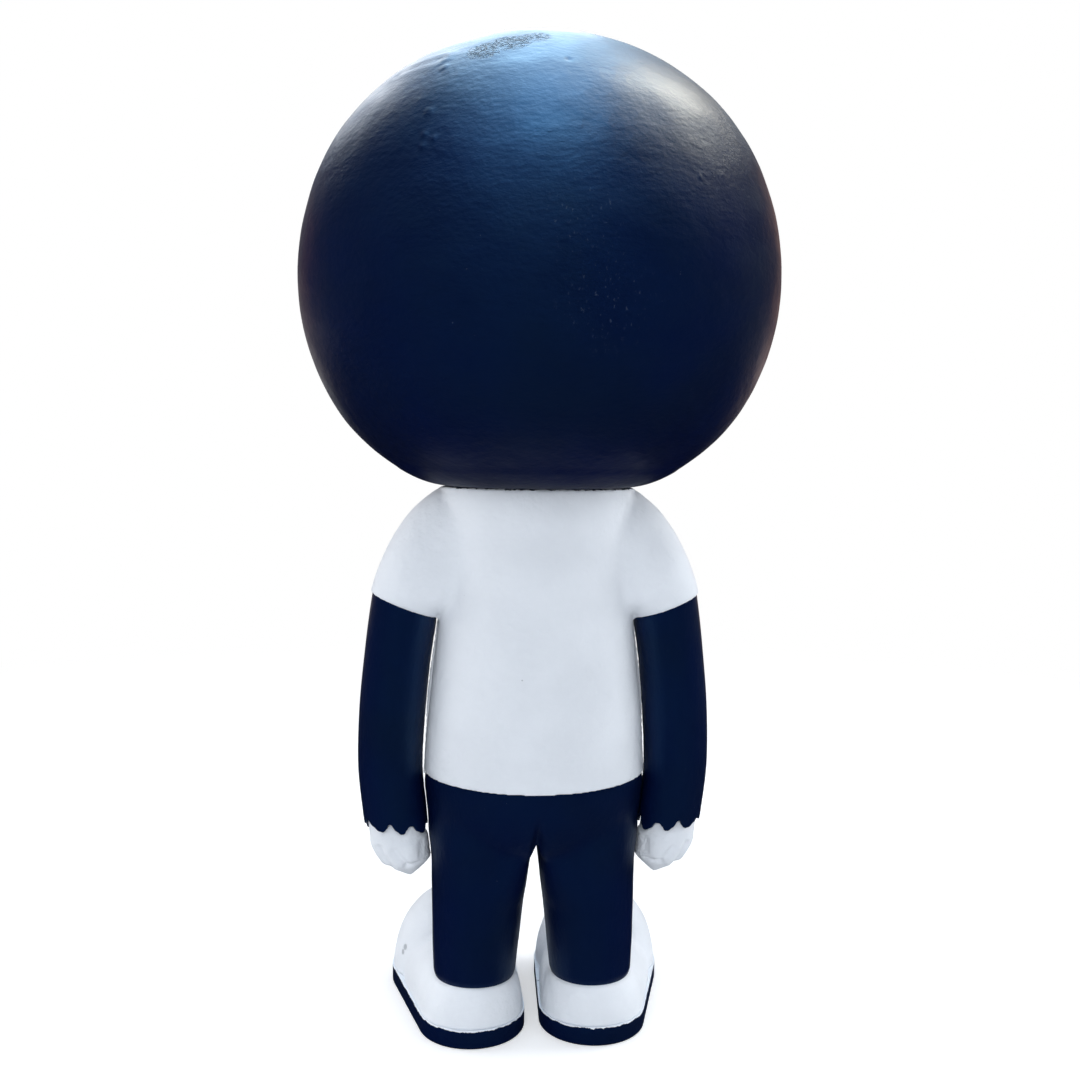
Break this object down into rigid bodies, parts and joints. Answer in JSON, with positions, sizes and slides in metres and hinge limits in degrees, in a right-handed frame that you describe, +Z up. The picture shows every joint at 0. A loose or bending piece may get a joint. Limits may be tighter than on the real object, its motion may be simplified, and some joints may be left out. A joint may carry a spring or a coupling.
{
  "type": "vinyl art toy",
  "caption": "Standing vinyl art toy with a ball head, T-shirt, trousers and shoes; its head, arms and fists turn on snap-in pegs.",
  "frame": {"origin": "on the floor under the middle of the ball head", "axes": "+Z up, -Y the way the figure faces, +X to the figure's own left"},
  "size_m": [0.1188, 0.1188, 0.2499],
  "materials": {
    "black_vinyl": "satin blue-black paint with a faint orange peel",
    "white_vinyl": "matt white paint",
    "joint_plastic": "moulded, unpainted"
  },
  "bodies": {
    "torso": {"shirt_shell": "white_vinyl", "neck_joint": "joint_plastic", "trousers": "black_vinyl", "left_shoe_upper": "white_vinyl", "right_shoe_upper": "white_vinyl", "left_sole": "black_vinyl", "right_sole": "black_vinyl"},
    "head": {"head_shell": "black_vinyl"},
    "left_arm": {"left_arm": "black_vinyl"},
    "right_arm": {"right_arm": "black_vinyl"},
    "left_hand": {"left_hand": "white_vinyl"},
    "right_hand": {"right_hand": "white_vinyl"}
  },
  "joints": [
    {"name": "neck_swivel", "type": "hinge", "parent": "torso", "child": "head", "pos_m": [0, 0, 0.14], "axis": [0, 0, 1], "continuous": true},
    {"name": "left_arm_swivel", "type": "hinge", "parent": "torso", "child": "left_arm", "pos_m": [0.03322, 0, 0.10994], "axis": [-0.3584, 0, 0.9336], "continuous": true},
    {"name": "right_arm_swivel", "type": "hinge", "parent": "torso", "child": "right_arm", "pos_m": [-0.03322, 0, 0.10994], "axis": [0.3584, 0, 0.9336], "continuous": true},
    {"name": "left_wrist_swivel", "type": "hinge", "parent": "left_arm", "child": "left_hand", "pos_m": [0.0356, 0, 0.05704], "axis": [0.1132, 0, 0.9936], "continuous": true},
    {"name": "right_wrist_swivel", "type": "hinge", "parent": "right_arm", "child": "right_hand", "pos_m": [-0.0356, 0, 0.05704], "axis": [-0.1132, 0, 0.9936], "continuous": true}
  ]
}
